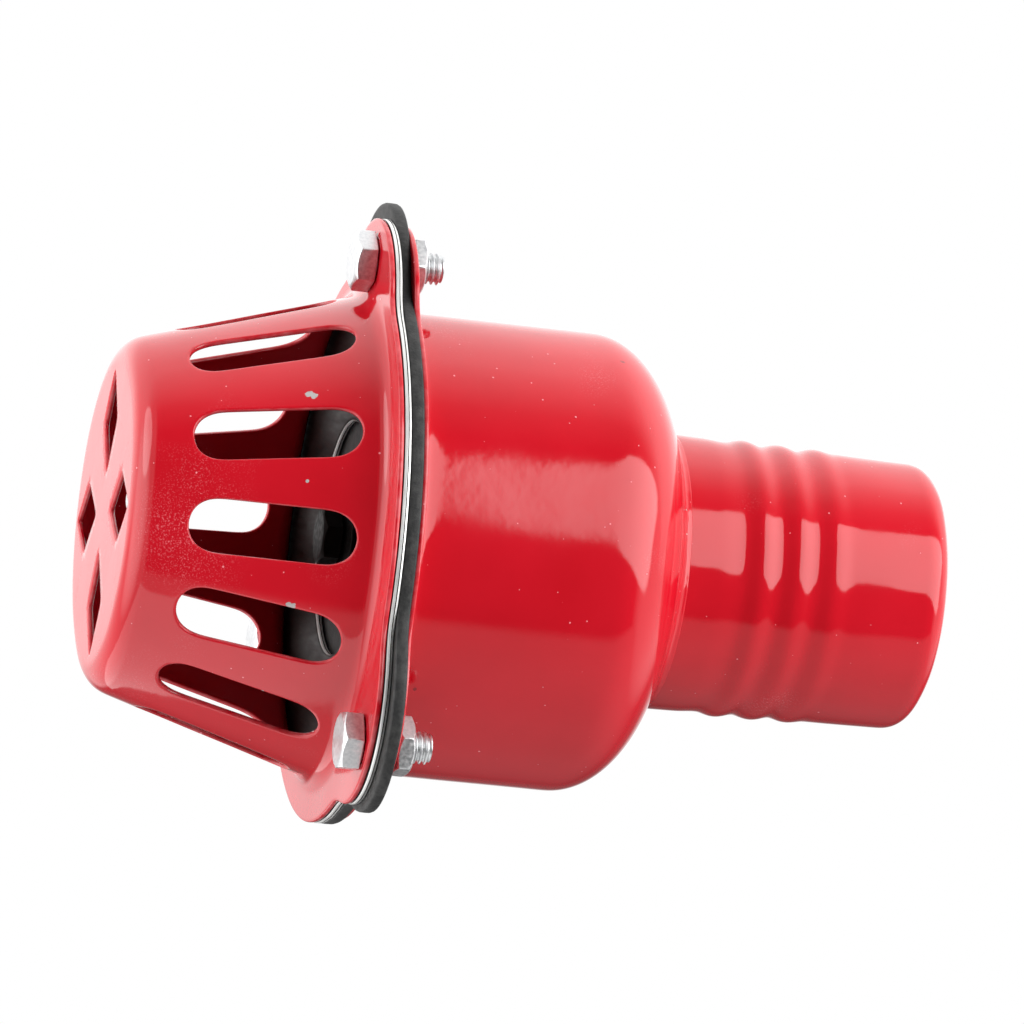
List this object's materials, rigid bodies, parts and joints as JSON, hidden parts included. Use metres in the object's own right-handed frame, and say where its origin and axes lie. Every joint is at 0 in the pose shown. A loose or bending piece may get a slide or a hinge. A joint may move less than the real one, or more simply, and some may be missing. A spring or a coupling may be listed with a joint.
{
  "type": "foot valve",
  "caption": "Pressed-steel foot valve with a slotted strainer, a hinged rubber flap on a steel seat plate, a bell-shaped body and a beaded hose tail, bolted through eared flanges.",
  "frame": {"origin": "centre of the strainer's flat end", "axes": "+Z along the valve's axis from the strainer's flat end to the hose tail, the way the water runs; +X from the axis to the flap's bending line"},
  "size_m": [0.116, 0.1163, 0.1565],
  "materials": {
    "red_enamel": "gloss red enamel on pressed steel",
    "plate_steel": "dark rolled steel, bright at its cut edges",
    "zinc": "bright zinc plate",
    "rubber": "matt moulded sheet"
  },
  "bodies": {
    "housing": {"strainer": "red_enamel", "seat_plate": "plate_steel", "gasket": "rubber", "body_bell": "red_enamel", "hose_tail": "red_enamel", "weld_bead": "red_enamel", "bolt_1": "zinc", "bolt_2": "zinc", "bolt_3": "zinc", "nut_1": "zinc", "nut_2": "zinc", "nut_3": "zinc"},
    "clack": {"flap": "rubber", "flap_weight": "plate_steel", "flap_washer": "plate_steel", "flap_screw": "plate_steel", "flap_nut": "plate_steel"}
  },
  "joints": [
    {"name": "flap_swing", "type": "hinge", "parent": "housing", "child": "clack", "pos_m": [0.032, 0, 0.0485], "axis": [0, 1, 0], "range_deg": [0, 65]}
  ]
}
